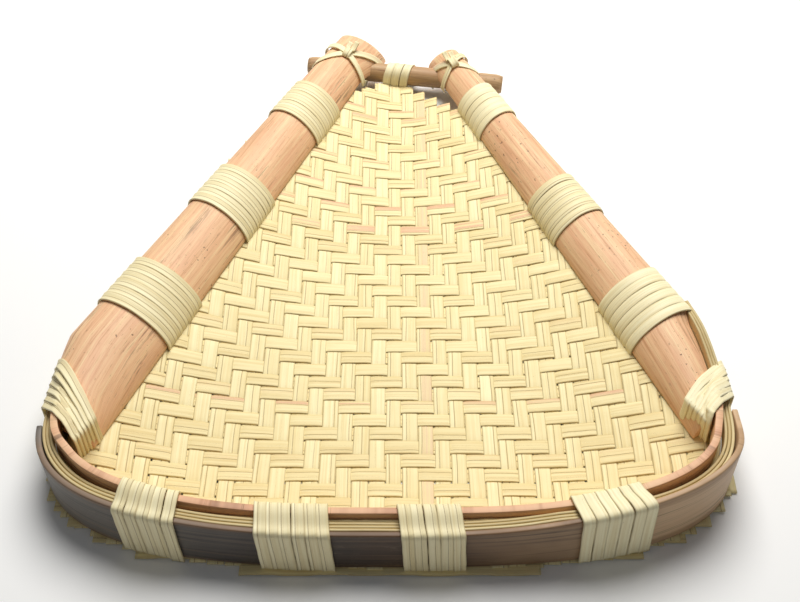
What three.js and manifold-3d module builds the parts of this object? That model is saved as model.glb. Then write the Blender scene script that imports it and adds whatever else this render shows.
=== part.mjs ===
// Winnowing basket: a dished mat of woven bamboo splints, held by two split-culm side rails
// that close in towards the narrow end, a cross stick under their far ends, and a layered
// hoop round the wide end.  Split-bamboo strips lash all of it together.
// Millimetres.  X runs across, Y from the wide end to the narrow end, Z square to the hoop's
// bands.  The basket lies on its mat, which slopes a little against the bands, so the whole of
// it is turned by that slope at the end.
import * as THREE from 'three';
import Module from 'manifold-3d';

const GAP = 0.35;               // clearance between pieces that touch
const STRIP_THICKNESS = 1.2;    // lashing strip
const STRIP_WIDTH = 6.6;
const TURN_PITCH = 7.0;         // one turn of a lashing to the next

// The plane that the basket lies on.
const REST = { front: 2.2, slope: 0.0842 };

// Hoop round the wide end, measured on its outer face.
const HOOP_HALF_WIDTH = 206.5;
const HOOP_DEPTH = 84;          // from the front to where the sides run straight
const HOOP_POWER = 2.8;         // squareness of the rounded front
const HOOP_SIDE_LEAN = 0.0016;   // how the sides curve in beyond the front, per mm squared
// The bands' ends are by the hoop's measure: 0 at the front, 1 where the sides run straight.
const OUTER_BAND = {
  thickness: 2.5, offRest: 2.8, frontTop: 36, leftTop: 43, rightTop: 52, end: 1.06, endRise: 9,
};
const FILLER = { count: 3, thickness: 1.7, height: 9, below: 2.5, highest: 41, rise: 3, endRise: 8 };
const INNER_BAND = {
  thickness: 2.8, frontTop: 42, endTop: 50, maxHeight: 34, aboveMat: 6, end: 1.15,
};
const BAND_STEPS = 64;
const CORNER_GAP = 3.5;         // room that opens behind the outer band for the corner lashings

// Woven mat.
const MAT_THICKNESS = 2.0;
const MAT_WALL_TOP = 35;        // top of the edge folded up inside the hoop
const MAT_RIM_HEIGHT = 4.6;     // middle of the mat where it meets the hoop, off the rest plane
const MAT_RIM_SLOPE = 0.25;
const MAT_CENTRE_Y = 190;
const MAT_BLEND = { rim: 3, sides: 10, stick: 4 };   // radii where its slopes meet
const MAT_DIP = { slope: 1.1, before: 4 };           // where it dips under the cross stick
const MAT_SIDE = { underRail: 10, strip: 6, farInside: 9, farStrip: 2, from: 62, to: 34 };
const MAT_FOLD = { from: 108, to: 48, least: 4 };    // where the edge turns from flat to upright
const MAT_RINGS = { floor: 16, bend: 3, crowding: 1.7 };
const SIDE_TILT = 0.38;         // slope of the mat, across, under the rails

// Side rails: the inner edge of the underside runs from near to far, [x, y, z].
const RAILS = {
  left: {
    side: -1, near: [31.5 - HOOP_HALF_WIDTH, 66, 28], far: [-12, 466, 59],
    width: [57, 37], height: [14, 12], hoopEnd: 112, lashings: [0.198, 0.445, 0.712],
  },
  right: {
    side: 1, near: [HOOP_HALF_WIDTH - 25.5, 73, 28], far: [31, 453, 57.8],
    width: [51, 27], height: [13, 10], hoopEnd: 142, lashings: [0.18, 0.44, 0.75],
  },
};
const RAIL_EDGE_INSET = 3;      // how far a rail's trimmed edge lies inside the hoop's face
const RAIL_TRIM = { inside: [20, 40], free: [-18, 8], last: 40 };
const RAIL_END = { height: 0.72, round: 5 };         // its ends are eased down
const RAIL_FACETS = 12;         // facets over the round of a rail
const RAIL_STEPS = 44;
const LATH = { width: 22, thickness: 4, start: 0.14, end: 0.8, inside: 2 };

// Cross stick under the far ends of the rails.
const [leftTip, rightTip] = [RAILS.left.far, RAILS.right.far];
const STICK = {
  radius: 8,
  left: [leftTip[0] - 54, leftTip[1] - 10, leftTip[2] - 2.8],
  right: [rightTip[0] + 61, rightTip[1] - 20, rightTip[2] - 5.6],
};
const STICK_FACETS = 24;
const STICK_CLEARANCE = 1.9;    // between the stick and the mat that dips under it

// Lashings round the hoop are placed by the hoop's own measure, those on a rail by fractions
// of its length.
const RAIL_TURNS = 6;
const RIM_LASHINGS = [
  { place: -0.548, turns: 5 }, { place: -0.218, turns: 6 },
  { place: 0.089, turns: 5 }, { place: 0.497, turns: 6 },
];
const RIM_SLACK = 0.2;          // room round the curved hoop under a rim lashing
const UNDER_GAP = 0.1;          // a rim lashing clears the rest plane by this
const CORNER_TURNS = 5;
const STICK_TURNS = 3;
const STICK_LASHING = 0.475;    // its place along the stick
const KNOT = { reach: 30, width: 7, size: [7, 5.5, 3] };

const MAT_COLOUR = 0xf2e6b4;
const RAIL_COLOUR = 0xe3b68e;
const LASHING_COLOUR = 0xf1e4b0;
const parts = new THREE.Group();

const wasm = await Module();
wasm.setup();

// ---------------------------------------------------------------- helpers

const lerp = THREE.MathUtils.lerp;
const smoothstep = THREE.MathUtils.smoothstep;

function smoothMax(a, b, radius) {
  const h = Math.max(radius - Math.abs(a - b), 0) / radius;
  return Math.max(a, b) + h * h * radius / 4;
}

function smoothMin(a, b, radius) {
  return -smoothMax(-a, -b, radius);
}

function addPart(name, geometry, color, roughness) {
  const material = new THREE.MeshStandardMaterial({ color, roughness, metalness: 0 });
  const mesh = new THREE.Mesh(geometry, material);
  mesh.name = name;
  parts.add(mesh);
}

// A closed solid through a row of sections, each with the same number of corners.
function loft(sections) {
  const corners = sections[0].length;
  const last = (sections.length - 1) * corners;
  const positions = sections.flat().flatMap((p) => [p.x, p.y, p.z]);
  const index = [];
  for (let i = 0; i < sections.length - 1; i += 1) {
    for (let j = 0; j < corners; j += 1) {
      const a = i * corners + j;
      const b = i * corners + ((j + 1) % corners);
      index.push(a, b, b + corners, a, b + corners, a + corners);
    }
  }
  for (let j = 1; j < corners - 1; j += 1) {
    index.push(0, j + 1, j, last, last + j, last + j + 1);
  }
  const geometry = new THREE.BufferGeometry();
  geometry.setAttribute('position', new THREE.Float32BufferAttribute(positions, 3));
  geometry.setIndex(index);
  return facingOut(geometry);
}

// Turns every triangle round when the solid's faces look inwards.
function facingOut(geometry) {
  const p = geometry.getAttribute('position');
  const index = geometry.getIndex().array;
  const corner = [new THREE.Vector3(), new THREE.Vector3(), new THREE.Vector3()];
  let volume = 0;
  for (let i = 0; i < index.length; i += 3) {
    corner.forEach((c, k) => c.fromBufferAttribute(p, index[i + k]));
    volume += corner[0].dot(corner[1].cross(corner[2]));
  }
  if (volume < 0) {
    const turned = Array.from(index);
    for (let i = 0; i < turned.length; i += 3) {
      [turned[i], turned[i + 1]] = [turned[i + 1], turned[i]];
    }
    geometry.setIndex(turned);
  }
  return geometry;
}

function toManifold(geometry) {
  const p = geometry.getAttribute('position');
  const index = geometry.getIndex();
  const found = new Map();
  const vertices = [];
  const vertexOf = [];
  for (let i = 0; i < p.count; i += 1) {
    const point = [p.getX(i), p.getY(i), p.getZ(i)];
    const key = point.map((v) => v.toFixed(4)).join();
    if (!found.has(key)) {
      found.set(key, found.size);
      vertices.push(...point);
    }
    vertexOf.push(found.get(key));
  }
  const triangles = [];
  for (let i = 0; i < index.count; i += 3) {
    const t = [0, 1, 2].map((k) => vertexOf[index.getX(i + k)]);
    if (t[0] !== t[1] && t[1] !== t[2] && t[2] !== t[0]) {
      triangles.push(...t);
    }
  }
  return new wasm.Manifold(new wasm.Mesh({
    numProp: 3,
    vertProperties: new Float32Array(vertices),
    triVerts: new Uint32Array(triangles),
  }));
}

function fromManifold(solid) {
  const mesh = solid.getMesh();
  const geometry = new THREE.BufferGeometry();
  const positions = [];
  for (let i = 0; i < mesh.vertProperties.length; i += mesh.numProp) {
    positions.push(...mesh.vertProperties.subarray(i, i + 3));
  }
  geometry.setAttribute('position', new THREE.Float32BufferAttribute(positions, 3));
  geometry.setIndex(Array.from(mesh.triVerts));
  return geometry;
}

// A box with its own axes, for slots.
function orientedBox(centre, along, across, size) {
  const box = new THREE.BoxGeometry(size[0], size[1], size[2]);
  const up = new THREE.Vector3().crossVectors(along, across);
  const frame = new THREE.Matrix4().makeBasis(along, across, up).setPosition(centre);
  return box.applyMatrix4(frame);
}

// ---------------------------------------------------------------- hoop

function hoopHalfWidthAt(y) {
  const beyond = Math.max(y - HOOP_DEPTH, 0);
  return HOOP_HALF_WIDTH - HOOP_SIDE_LEAN * beyond * beyond;
}

// The hoop's round front by the angle from its middle, and the length along it to each step.
function frontPoint(angle) {
  const across = Math.sin(angle) / HOOP_HALF_WIDTH;
  const ahead = Math.cos(angle) / HOOP_DEPTH;
  const reach = (across ** HOOP_POWER + ahead ** HOOP_POWER) ** (-1 / HOOP_POWER);
  return new THREE.Vector3(reach * Math.sin(angle), HOOP_DEPTH - reach * Math.cos(angle), 0);
}

const frontSteps = 600;
const frontLengths = [0];
for (let i = 1; i <= frontSteps; i += 1) {
  const angle = (k) => Math.min(k / frontSteps, 1) * Math.PI / 2 - 1e-9;
  const step = frontPoint(Math.max(angle(i - 1), 0)).distanceTo(frontPoint(angle(i)));
  frontLengths.push(frontLengths[i - 1] + step);
}
const frontLength = frontLengths[frontSteps];

// A point of the hoop's outer face.  t is 0 at the front and 1 at the end of the round
// front, evenly along it, and grows by 1 for every further HOOP_DEPTH along the side.
function hoopPoint(t) {
  if (Math.abs(t) >= 1) {
    const y = HOOP_DEPTH * Math.abs(t);
    return new THREE.Vector3(Math.sign(t) * hoopHalfWidthAt(y), y, 0);
  }
  const goal = Math.abs(t) * frontLength;
  const after = Math.max(frontLengths.findIndex((length) => length >= goal), 1);
  const before = frontLengths[after - 1];
  const share = (goal - before) / (frontLengths[after] - before);
  const point = frontPoint((after - 1 + share) / frontSteps * (Math.PI / 2 - 1e-9));
  return point.setX(Math.sign(t) * point.x);
}

function hoopTangent(t) {
  const step = 0.004;
  return hoopPoint(t + step).sub(hoopPoint(t - step)).normalize();
}

// The hoop's point moved inwards from the outer face, at height z.
function hoopInset(t, inset, z) {
  const tangent = hoopTangent(t);
  const inward = new THREE.Vector3(-tangent.y, tangent.x, 0);
  return hoopPoint(t).addScaledVector(inward, inset).setZ(z);
}

// How far inside the hoop's outer face a point lies.
function insideDistance(x, y) {
  if (y >= HOOP_DEPTH) {
    return hoopHalfWidthAt(y) - Math.abs(x);
  }
  const u = Math.abs(x) / HOOP_HALF_WIDTH;
  const v = (HOOP_DEPTH - y) / HOOP_DEPTH;
  const level = (u ** HOOP_POWER + v ** HOOP_POWER) ** (1 / HOOP_POWER);
  const slope = Math.hypot(
    u ** (HOOP_POWER - 1) / HOOP_HALF_WIDTH,
    v ** (HOOP_POWER - 1) / HOOP_DEPTH,
  ) * level ** (1 - HOOP_POWER);
  return (1 - level) / slope;
}

function cornerGapAt(t) {
  return CORNER_GAP * smoothstep(Math.abs(t), 0.66, 0.92);
}

function outerBandTopAt(t) {
  const end = t < 0 ? OUTER_BAND.leftTop : OUTER_BAND.rightTop;
  return lerp(OUTER_BAND.frontTop, end, smoothstep(Math.abs(t), 0.1, 0.85));
}

function fillerInset(number, t) {
  return OUTER_BAND.thickness + GAP + cornerGapAt(t) + number * (FILLER.thickness + GAP);
}

function wallInset(t) {
  return fillerInset(FILLER.count, t) + MAT_THICKNESS / 2;
}

function innerBandInset(t) {
  return wallInset(t) + MAT_THICKNESS / 2 + GAP;
}

function hoopThicknessAt(t) {
  return innerBandInset(t) + INNER_BAND.thickness;
}

function innerBandTopAt(t) {
  return lerp(INNER_BAND.frontTop, INNER_BAND.endTop, smoothstep(Math.abs(t), 0.3, 1.2));
}

// ---------------------------------------------------------------- rails

// Axes of a rail: along it, out across its underside, and up off the underside.
function railAxes(rail) {
  const near = new THREE.Vector3(...rail.near);
  const far = new THREE.Vector3(...rail.far);
  const along = far.clone().sub(near);
  const length = along.length();
  along.normalize();
  const level = new THREE.Vector3(along.y, -along.x, 0).multiplyScalar(rail.side).normalize();
  const across = level.clone().setZ(SIDE_TILT);
  across.addScaledVector(along, -across.dot(along)).normalize();
  const up = new THREE.Vector3().crossVectors(across, along).multiplyScalar(rail.side);
  return { near, along, across, up, length };
}

for (const rail of Object.values(RAILS)) {
  Object.assign(rail, { axes: railAxes(rail) });
}

// A point in a rail's own measure: s along, q out across the underside, n off it.
function railPoint(rail, s, q, n) {
  const { near, along, across, up } = rail.axes;
  return near.clone().addScaledVector(along, s).addScaledVector(across, q).addScaledVector(up, n);
}

// Height of the plane that the middle of the mat follows under a rail.
function railPlaneHeight(rail, x, y) {
  const { up } = rail.axes;
  const origin = railPoint(rail, 0, 0, -GAP - MAT_THICKNESS / 2);
  return origin.z - (up.x * (x - origin.x) + up.y * (y - origin.y)) / up.z;
}

// Distance across from a rail's inner edge, at s, to a given inset from the hoop's face.
function acrossToInset(rail, s, inset) {
  let low = 0;
  let high = 2 * rail.width[0];
  for (let i = 0; i < 30; i += 1) {
    const middle = (low + high) / 2;
    const p = railPoint(rail, s, middle, 0);
    if (insideDistance(p.x, p.y) > inset) {
      low = middle;
    } else {
      high = middle;
    }
  }
  return low;
}

// Width of a rail at s: it tapers to the narrow end, and towards the wide end it is trimmed
// to lie inside the hoop, then beside the fillers, then level with the hoop's face.
function railWidthAt(rail, s) {
  const full = lerp(rail.width[0], rail.width[1], s / rail.axes.length);
  const y = railPoint(rail, s, 0, 0).y;
  const insideHoop = hoopThicknessAt(1) + 4 * GAP;
  const besideFillers = fillerInset(FILLER.count, 1) + 5 * GAP;
  const besideAt = smoothstep(y - HOOP_DEPTH, ...RAIL_TRIM.inside);
  const freeAt = smoothstep(y - rail.hoopEnd, ...RAIL_TRIM.free);
  const inset = lerp(lerp(insideHoop, besideFillers, besideAt), RAIL_EDGE_INSET, freeAt);
  const trimmed = y < rail.hoopEnd + RAIL_TRIM.last;
  return trimmed ? Math.min(full, acrossToInset(rail, s, inset)) : full;
}

function railHeightAt(rail, s) {
  const full = lerp(rail.height[0], rail.height[1], s / rail.axes.length);
  const fromEnd = Math.min(s, rail.axes.length - s);
  return full * lerp(RAIL_END.height, 1, smoothstep(fromEnd, 0, RAIL_END.round));
}

// The round top of a rail as seen along it, set off outwards by a given amount.
function railArc(rail, s, offset) {
  const width = railWidthAt(rail, s);
  const height = railHeightAt(rail, s);
  const points = [];
  for (let i = 0; i <= RAIL_FACETS; i += 1) {
    const angle = Math.PI * i / RAIL_FACETS;
    const q = width / 2 - (width / 2 + offset) * Math.cos(angle);
    points.push([q, (height + offset) * Math.sin(angle)]);
  }
  return points;
}

function railSolid(rail) {
  const sections = [];
  for (let i = 0; i <= RAIL_STEPS; i += 1) {
    const s = rail.axes.length * i / RAIL_STEPS;
    sections.push(railArc(rail, s, 0).map(([q, n]) => railPoint(rail, s, q, n)));
  }
  return loft(sections);
}

function lathSolid(rail) {
  const top = -2 * GAP - MAT_THICKNESS;
  const sections = [LATH.start, LATH.end].map((share) => {
    const s = share * rail.axes.length;
    const q = (railWidthAt(rail, s) - LATH.width) / 2;
    const wide = Math.min(LATH.width, railWidthAt(rail, s) - 2 * LATH.inside);
    const first = Math.max(q, LATH.inside);
    return [
      railPoint(rail, s, first, top), railPoint(rail, s, first + wide, top),
      railPoint(rail, s, first + wide, top - LATH.thickness),
      railPoint(rail, s, first, top - LATH.thickness),
    ];
  });
  return loft(sections);
}

// ---------------------------------------------------------------- cross stick

const stickLeft = new THREE.Vector3(...STICK.left);
const stickRight = new THREE.Vector3(...STICK.right);
const stickAlong = stickRight.clone().sub(stickLeft).normalize();
const stickLength = stickLeft.distanceTo(stickRight);
const stickAcross = new THREE.Vector3(-stickAlong.y, stickAlong.x, 0).normalize();
const stickUp = new THREE.Vector3().crossVectors(stickAlong, stickAcross);

function stickSolid(radius, length) {
  const cylinder = new THREE.CylinderGeometry(radius, radius, length, STICK_FACETS, 1);
  const frame = new THREE.Matrix4().makeBasis(stickAcross, stickAlong, stickUp.clone().negate());
  frame.setPosition(stickLeft.clone().lerp(stickRight, 0.5));
  return cylinder.applyMatrix4(frame);
}

// Height of the stick's axis and how far a point lies towards the narrow end from it.
function stickAt(x, y) {
  const from = new THREE.Vector3(x, y, 0).sub(stickLeft).setZ(0);
  const share = from.dot(stickAlong) / stickLength;
  return { z: lerp(stickLeft.z, stickRight.z, share), beyond: from.dot(stickAcross) };
}

// ---------------------------------------------------------------- mat

function restHeight(y) {
  return REST.front + REST.slope * y;
}

// Height of the middle of the mat: a flat floor that rises to the rails and the hoop and
// dips under the cross stick.
function matHeight(x, y) {
  const sides = smoothMax(
    railPlaneHeight(RAILS.left, x, y), railPlaneHeight(RAILS.right, x, y), MAT_BLEND.sides);
  const rim = restHeight(y) + MAT_RIM_HEIGHT
    - MAT_RIM_SLOPE * (insideDistance(x, y) - wallInset(0)) - Math.max(y - HOOP_DEPTH, 0);
  const floor = smoothMax(restHeight(y) + MAT_THICKNESS / 2, rim, MAT_BLEND.rim);
  const dish = smoothMax(floor, sides, MAT_BLEND.sides);
  const stick = stickAt(x, y);
  const under = stick.z - STICK.radius - STICK_CLEARANCE - MAT_THICKNESS / 2;
  const before = Math.max(-stick.beyond - STICK.radius - MAT_DIP.before, 0);
  return smoothMin(dish, under + MAT_DIP.slope * before, MAT_BLEND.stick);
}

// Outline of the mat's floor with the edge strip that goes on from it: each station has a
// point, the way out, the strip's slope and its width.
function matOutline() {
  const stations = [];
  const sideStation = (rail, y) => {
    const share = (y - rail.near[1]) / (rail.far[1] - rail.near[1]);
    const s = share * rail.axes.length;
    const narrowing = smoothstep(y, stickLeft.y - MAT_SIDE.from, stickLeft.y - MAT_SIDE.to);
    const q = lerp(railWidthAt(rail, s) - MAT_SIDE.underRail, -MAT_SIDE.farInside, narrowing);
    const out = rail.axes.across.clone().setZ(0).normalize();
    const point = railPoint(rail, s, q, 0);
    const lean = lerp(Math.atan(SIDE_TILT), 0, narrowing);
    return { point, out, slope: lean, strip: lerp(MAT_SIDE.strip, MAT_SIDE.farStrip, narrowing) };
  };
  const sideYs = [118, 134, 150, 185, 220, 255, 290, 325, 355, 380, 395, 408, 420, 428, 434];
  for (const y of sideYs) {
    stations.unshift(sideStation(RAILS.right, y));
  }
  const front = 44;
  for (let i = 0; i <= front; i += 1) {
    const t = lerp(1.3, -1.3, i / front);
    const tangent = hoopTangent(t);
    const out = new THREE.Vector3(tangent.y, -tangent.x, 0);
    const upright = 1 - smoothstep(hoopPoint(t).y, MAT_FOLD.to, MAT_FOLD.from);
    const slope = lerp(Math.atan(SIDE_TILT), Math.PI / 2, upright);
    const wall = hoopInset(t, wallInset(t), 0);
    const rise = Math.max(MAT_WALL_TOP - matHeight(wall.x, wall.y), MAT_FOLD.least);
    const strip = lerp(MAT_SIDE.strip, rise, upright);
    const point = hoopInset(t, wallInset(t) + strip * Math.cos(slope), 0);
    stations.push({ point, out, slope, strip });
  }
  for (const y of sideYs) {
    stations.push(sideStation(RAILS.left, y));
  }
  const far = 4;
  const edge = [RAILS.left, RAILS.right].map((rail) => {
    const s = rail.axes.length * (stickLeft.y - rail.near[1]) / (rail.far[1] - rail.near[1]);
    return railPoint(rail, s, -MAT_SIDE.farInside, 0).x;
  });
  for (let i = 0; i <= far; i += 1) {
    const x = lerp(edge[0], edge[1], i / far);
    const y = lerp(stickLeft.y, stickRight.y, (x - stickLeft.x) / (stickRight.x - stickLeft.x));
    const out = new THREE.Vector3(0, 1, 0);
    stations.push({ point: new THREE.Vector3(x, y + 3, 0), out, slope: 0, strip: 3 });
  }
  return stations.reverse();
}

function matSolid() {
  const stations = matOutline();
  const { floor: floorRings, bend: bendRings, crowding } = MAT_RINGS;
  const centre = new THREE.Vector3(0, MAT_CENTRE_Y, 0);
  const middle = (station, ring) => {
    if (ring <= floorRings) {
      const p = centre.clone().lerp(station.point, 1 - (1 - ring / floorRings) ** crowding);
      return { p: p.setZ(matHeight(p.x, p.y)), slope: ring < floorRings ? 0 : station.slope / 2 };
    }
    const edge = station.point.clone();
    edge.z = matHeight(edge.x, edge.y);
    const reach = station.strip * (ring - floorRings) / bendRings;
    edge.addScaledVector(station.out, reach * Math.cos(station.slope));
    edge.z += reach * Math.sin(station.slope);
    return { p: edge, slope: station.slope };
  };
  const rings = floorRings + bendRings;
  // Profile of the lathe: under face from the middle out, then the upper face back.
  const profile = [];
  for (let ring = 0; ring <= rings; ring += 1) {
    profile.push(new THREE.Vector2(ring, -1));
  }
  for (let ring = rings; ring >= 0; ring -= 1) {
    profile.push(new THREE.Vector2(ring, 1));
  }
  const lathe = new THREE.LatheGeometry(profile, stations.length);
  const position = lathe.getAttribute('position');
  for (let i = 0; i < position.count; i += 1) {
    const station = stations[Math.floor(i / profile.length) % stations.length];
    const { x: ring, y: face } = profile[i % profile.length];
    const { p, slope } = middle(station, ring);
    p.addScaledVector(station.out, -face * Math.sin(slope) * MAT_THICKNESS / 2);
    p.z += face * Math.cos(slope) * MAT_THICKNESS / 2;
    position.setXYZ(i, p.x, p.y, p.z);
  }
  return facingOut(lathe);
}

// ---------------------------------------------------------------- hoop pieces

// A band that follows the hoop from t = first to t = last between two insets.
function bandSolid(first, last, steps, insetAt, thickness, bottomAt, topAt) {
  const sections = [];
  for (let i = 0; i <= steps; i += 1) {
    const t = lerp(first, last, i / steps);
    const inset = insetAt(t);
    sections.push([
      hoopInset(t, inset, bottomAt(t)), hoopInset(t, inset + thickness, bottomAt(t)),
      hoopInset(t, inset + thickness, topAt(t)), hoopInset(t, inset, topAt(t)),
    ]);
  }
  return loft(sections);
}

const hoopEnds = { left: RAILS.left.hoopEnd / HOOP_DEPTH, right: RAILS.right.hoopEnd / HOOP_DEPTH };

function outerBandBottomAt(t) {
  const rise = OUTER_BAND.endRise * smoothstep(Math.abs(t), 0.8, OUTER_BAND.end);
  return restHeight(hoopPoint(t).y) + OUTER_BAND.offRest + rise;
}

addPart('outer_rim_band', bandSolid(
  -OUTER_BAND.end, OUTER_BAND.end, BAND_STEPS, () => 0, OUTER_BAND.thickness,
  outerBandBottomAt, outerBandTopAt,
), 0x6b5546, 0.6);

function fillerTopAt(t) {
  const top = Math.min(outerBandTopAt(t), FILLER.highest) - FILLER.below;
  const rise = FILLER.rise * smoothstep(Math.abs(t), 0.5, 1);
  return top + rise + FILLER.endRise * smoothstep(Math.abs(t), 1.1, 2.4);
}

for (let number = 0; number < FILLER.count; number += 1) {
  addPart(`rim_filler_splint_${number + 1}`, bandSolid(
    -hoopEnds.left, hoopEnds.right, BAND_STEPS, (t) => fillerInset(number, t), FILLER.thickness,
    (t) => fillerTopAt(t) - FILLER.height, fillerTopAt,
  ), 0xe8dba6, 0.65);
}

// The inner band rides just above the mat, so its underside climbs with it at the corners.
function innerBandBottomAt(t) {
  const heights = [0, 1].map((share) => {
    const p = hoopInset(t, innerBandInset(t) + share * INNER_BAND.thickness, 0);
    return matHeight(p.x, p.y);
  });
  const clear = Math.max(...heights) + MAT_THICKNESS / 2 + INNER_BAND.aboveMat;
  return Math.max(clear, innerBandTopAt(t) - INNER_BAND.maxHeight);
}

addPart('inner_rim_band', bandSolid(
  -INNER_BAND.end, INNER_BAND.end, BAND_STEPS, innerBandInset, INNER_BAND.thickness,
  innerBandBottomAt, innerBandTopAt,
), 0xe0ae86, 0.6);

// ---------------------------------------------------------------- lashings

// A flat strip wound in turns round a bundle.  At s along the bundle, loopAt gives the loop's
// points and alongAt the bundle's direction.
function windingSolid(loopAt, alongAt, start, turns, pitch) {
  const count = loopAt(start).length;
  const half = STRIP_THICKNESS / 2;
  const sections = [];
  for (let i = 0; i < turns * count; i += 1) {
    const s = start + pitch * i / count;
    const loop = loopAt(s);
    const along = alongAt(s);
    const point = loop[i % count];
    const run = loop[(i + 1) % count].clone().sub(loop[(i + count - 1) % count]).normalize();
    const away = new THREE.Vector3().crossVectors(run, along).normalize().multiplyScalar(half);
    const wide = along.clone().multiplyScalar(STRIP_WIDTH / 2);
    sections.push([
      point.clone().add(wide).add(away), point.clone().sub(wide).add(away),
      point.clone().sub(wide).sub(away), point.clone().add(wide).sub(away),
    ]);
  }
  return loft(sections);
}

const STAND_OFF = GAP + STRIP_THICKNESS / 2;
const matCuts = [];
const railCuts = { left: [], right: [] };

for (const [name, rail] of Object.entries(RAILS)) {
  const { along, across, length } = rail.axes;
  addPart(`${name}_rail_under_lath`, lathSolid(rail), 0xd9c08c, 0.65);
  const below = -3 * GAP - MAT_THICKNESS - LATH.thickness - STRIP_THICKNESS / 2;
  const loopAt = (s) => {
    const arc = railArc(rail, s, STAND_OFF);
    const loop = [[arc[0][0], below], ...arc, [arc[arc.length - 1][0], below]];
    return loop.map(([q, n]) => railPoint(rail, s, q, n));
  };
  const span = RAIL_TURNS * TURN_PITCH;
  rail.lashings.forEach((place, i) => {
    const start = place * length;
    addPart(`${name}_rail_lashing_${i + 1}`,
      windingSolid(loopAt, () => along, start, RAIL_TURNS, TURN_PITCH), LASHING_COLOUR, 0.6);
    const slot = railPoint(rail, start + span / 2, -STAND_OFF, 0);
    matCuts.push(orientedBox(slot, along, across,
      [span + STRIP_WIDTH + 3, STRIP_THICKNESS + 2 * GAP, 14]));
  });
}

// Where the hoop's measure stands at a distance y from the front.
function hoopMeasureAt(y) {
  let low = 0;
  let high = 3;
  for (let i = 0; i < 30; i += 1) {
    const middle = (low + high) / 2;
    if (hoopPoint(middle).y < y) {
      low = middle;
    } else {
      high = middle;
    }
  }
  return low;
}

// Corner lashings hold a rail's near end to the inner band and the fillers.
for (const [name, rail] of Object.entries(RAILS)) {
  const { along, across } = rail.axes;
  const loopAt = (s) => {
    const arc = railArc(rail, s + STRIP_WIDTH / 2, STAND_OFF + GAP);
    const overRail = arc.slice(0, RAIL_FACETS - 1).map(([q, n]) => railPoint(rail, s, q, n));
    const outerQ = acrossToInset(rail, s, OUTER_BAND.thickness + (GAP + CORNER_GAP) / 2);
    const innerQ = acrossToInset(rail, s, hoopThicknessAt(1)) - 3;
    const outer = railPoint(rail, s, outerQ, 0);
    const inner = railPoint(rail, s, innerQ, 0);
    const t = rail.side * hoopMeasureAt(outer.y);
    const top = fillerTopAt(t);
    const railEdge = overRail[overRail.length - 1].z;
    const overBand = Math.max(innerBandTopAt(t) + 2.4 * STAND_OFF, railEdge);
    const under = -2 * GAP - MAT_THICKNESS - STRIP_THICKNESS / 2;
    return [
      railPoint(rail, s, arc[0][0], under), ...overRail, inner.setZ(overBand),
      railPoint(rail, s, outerQ - 3, 0).setZ(overBand - 1),
      outer.clone().setZ(top + STAND_OFF), outer.clone().setZ(top - FILLER.height - 2 * STAND_OFF),
    ];
  };
  const start = 4;
  const span = CORNER_TURNS * TURN_PITCH;
  addPart(`${name}_corner_lashing`,
    windingSolid(loopAt, () => along, start, CORNER_TURNS, TURN_PITCH), LASHING_COLOUR, 0.6);
  const slot = railPoint(rail, start + span / 2, -STAND_OFF, 0);
  matCuts.push(orientedBox(slot, along, across,
    [span + STRIP_WIDTH + 3, STRIP_THICKNESS + 2 * GAP, 14]));
}

// Rim lashings go round the whole hoop at the wide end.
RIM_LASHINGS.forEach(({ place, turns }, i) => {
  const span = turns * TURN_PITCH;
  const measureAt = (s) => place + (s - span / 2) / frontLength;
  const innerRun = (t) => hoopThicknessAt(t) + STAND_OFF + RIM_SLACK;
  const loopAt = (s) => {
    const t = measureAt(s);
    const outer = -STAND_OFF - RIM_SLACK;
    const inner = innerRun(t);
    const top = outerBandTopAt(t) + STAND_OFF + RIM_SLACK;
    const innerTop = innerBandTopAt(t) + STAND_OFF;
    const below = (inset) => {
      const point = hoopInset(t, inset, 0);
      return point.setZ(restHeight(point.y) + STRIP_THICKNESS / 2 + UNDER_GAP);
    };
    return [
      below(outer), hoopInset(t, outer, top / 2),
      hoopInset(t, outer, top), hoopInset(t, OUTER_BAND.thickness + STAND_OFF, top),
      hoopInset(t, innerBandInset(t) - STAND_OFF / 2, innerTop),
      hoopInset(t, inner, innerTop), hoopInset(t, inner, innerTop / 2),
      below(inner), below(inner / 2),
    ];
  };
  addPart(`rim_lashing_${i + 1}`,
    windingSolid(loopAt, (s) => hoopTangent(measureAt(s)), 0, turns, TURN_PITCH),
    LASHING_COLOUR, 0.6);
  const slotWidth = STRIP_THICKNESS + 2 * GAP;
  matCuts.push(bandSolid(
    measureAt(-STRIP_WIDTH), measureAt(span + STRIP_WIDTH), 12,
    (t) => innerRun(t) - slotWidth / 2, slotWidth, () => -1, () => MAT_WALL_TOP));
});

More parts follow.
